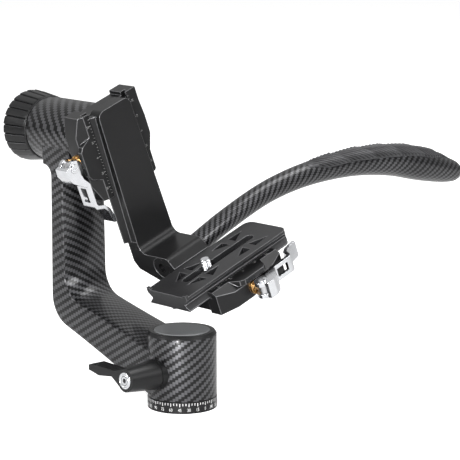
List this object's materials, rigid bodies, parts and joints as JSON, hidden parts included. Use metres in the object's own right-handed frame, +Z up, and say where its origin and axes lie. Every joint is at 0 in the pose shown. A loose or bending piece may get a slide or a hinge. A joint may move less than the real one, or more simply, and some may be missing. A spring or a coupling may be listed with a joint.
{
  "type": "gimbal tripod head",
  "caption": "Side-mount gimbal tripod head: carbon swing arm on a panning base, tilting L bracket with lever clamps, slotted lens plate and long curved pan handle.",
  "frame": {"origin": "middle of the base's underside, on the pan axis, where the tripod's stud enters", "axes": "+Z up along the pan axis; X along the tilt axis from the knob (-X) towards the lens plate (+X); the lens looks along +Y"},
  "size_m": [0.1934, 0.3469, 0.1976],
  "materials": {
    "carbon": "glossy twill carbon fibre",
    "black_anodised": "satin black anodised",
    "plate_black": "fine matt black anodised",
    "grey_cap": "satin grey anodised",
    "aluminium": "machined",
    "steel": "turned steel",
    "camera_steel": "bright threaded screw",
    "chrome": "polished chrome",
    "brass": "plain brass",
    "pad": "friction material"
  },
  "bodies": {
    "base": {"base_ring": "black_anodised", "thread_insert": "steel", "pan_spindle": "aluminium", "base_screws": "steel", "spindle_nut": "steel"},
    "swing_arm": {"arm_shell": "carbon", "housing_liner": "aluminium", "pan_bearing_lower": "steel", "pan_bearing_upper": "steel", "trim_ring": "black_anodised", "top_cap": "grey_cap", "pan_lock_boss": "black_anodised", "pan_brake_shoe": "brass", "tilt_liner": "aluminium", "tilt_bearing_outer": "steel", "tilt_bearing_inner": "steel", "tube_end_plate": "black_anodised", "tilt_brake_pad": "pad"},
    "pan_lock": {"pan_lock_lever": "black_anodised", "pan_lock_stud": "steel", "pan_lock_screw": "steel"},
    "tilt_lock_knob": {"tilt_knob": "black_anodised", "knob_cap": "black_anodised", "knob_stud": "steel"},
    "tilt_cradle": {"tilt_shaft": "aluminium", "upper_clamp_body": "black_anodised", "upper_clamp_screws": "steel", "upper_guide_pins": "steel", "upper_tension_rod": "steel", "upper_rod_nut": "steel"},
    "upper_jaw_body": {"upper_jaw": "black_anodised", "upper_cam_washer": "brass"},
    "upper_lever_body": {"upper_lever": "chrome", "upper_lever_pin": "steel"},
    "bracket": {"l_bracket": "black_anodised", "bracket_stop_screw": "steel", "handle_tube": "carbon", "handle_grip": "carbon", "handle_bolt": "steel", "lower_clamp_body": "black_anodised", "lower_clamp_screws": "steel", "lower_guide_pins": "steel", "lower_tension_rod": "steel", "lower_rod_nut": "steel"},
    "lower_jaw_body": {"lower_jaw": "black_anodised", "lower_cam_washer": "brass"},
    "lower_lever_body": {"lower_lever": "chrome", "lower_lever_pin": "steel"},
    "lens_plate_body": {"lens_plate": "plate_black", "plate_stop_screws": "steel"},
    "screw_carriage": {"screw_washer": "steel"},
    "camera_screw_body": {"camera_screw": "camera_steel"}
  },
  "joints": [
    {"name": "pan", "type": "hinge", "parent": "base", "child": "swing_arm", "pos_m": [0, 0, 0.02], "axis": [0, 0, 1], "continuous": true},
    {"name": "pan_lock_turn", "type": "hinge", "parent": "swing_arm", "child": "pan_lock", "pos_m": [0, -0.03, 0.024], "axis": [0, -1, 0], "range_deg": [0, 180]},
    {"name": "tilt_knob_turn", "type": "hinge", "parent": "swing_arm", "child": "tilt_lock_knob", "pos_m": [-0.14, 0, 0.16475], "axis": [1, 0, 0], "range_deg": [0, 360]},
    {"name": "tilt", "type": "hinge", "parent": "swing_arm", "child": "tilt_cradle", "pos_m": [-0.1, 0, 0.16475], "axis": [1, 0, 0], "range_deg": [-35, 180]},
    {"name": "upper_lever_swing", "type": "hinge", "parent": "tilt_cradle", "child": "upper_lever_body", "pos_m": [-0.0715, -0.03258, 0.14782], "axis": [-1, 0, 0], "range_deg": [0, 100]},
    {"name": "upper_jaw_slide", "type": "slide", "parent": "tilt_cradle", "child": "upper_jaw_body", "axis": [0, -0.9323, -0.3616], "range_m": [0, 0.0012]},
    {"name": "bracket_slide", "type": "slide", "parent": "tilt_cradle", "child": "bracket", "axis": [0, -0.3616, 0.9323], "range_m": [-0.004, 0.025]},
    {"name": "lower_lever_swing", "type": "hinge", "parent": "bracket", "child": "lower_lever_body", "pos_m": [0.032, 0.04154, 0.07564], "axis": [0, 0.3616, -0.9323], "range_deg": [0, 100]},
    {"name": "lower_jaw_slide", "type": "slide", "parent": "bracket", "child": "lower_jaw_body", "axis": [1, 0, 0], "range_m": [0, 0.0012]},
    {"name": "plate_slide", "type": "slide", "parent": "bracket", "child": "lens_plate_body", "axis": [0, 0.9323, 0.3616], "range_m": [-0.008, 0.012]},
    {"name": "screw_slide", "type": "slide", "parent": "lens_plate_body", "child": "screw_carriage", "axis": [0, 0.9323, 0.3616], "range_m": [-0.017, 0.035]},
    {"name": "screw_turn", "type": "hinge", "parent": "screw_carriage", "child": "camera_screw_body", "pos_m": [-0.0045, 0.02506, 0.08631], "axis": [0, -0.3616, 0.9323], "continuous": true}
  ],
  "couplings": [
    {"joint": "upper_jaw_slide", "follows": "upper_lever_swing", "m_per_rad": 0.00068754},
    {"joint": "lower_jaw_slide", "follows": "lower_lever_swing", "m_per_rad": 0.00068754}
  ]
}
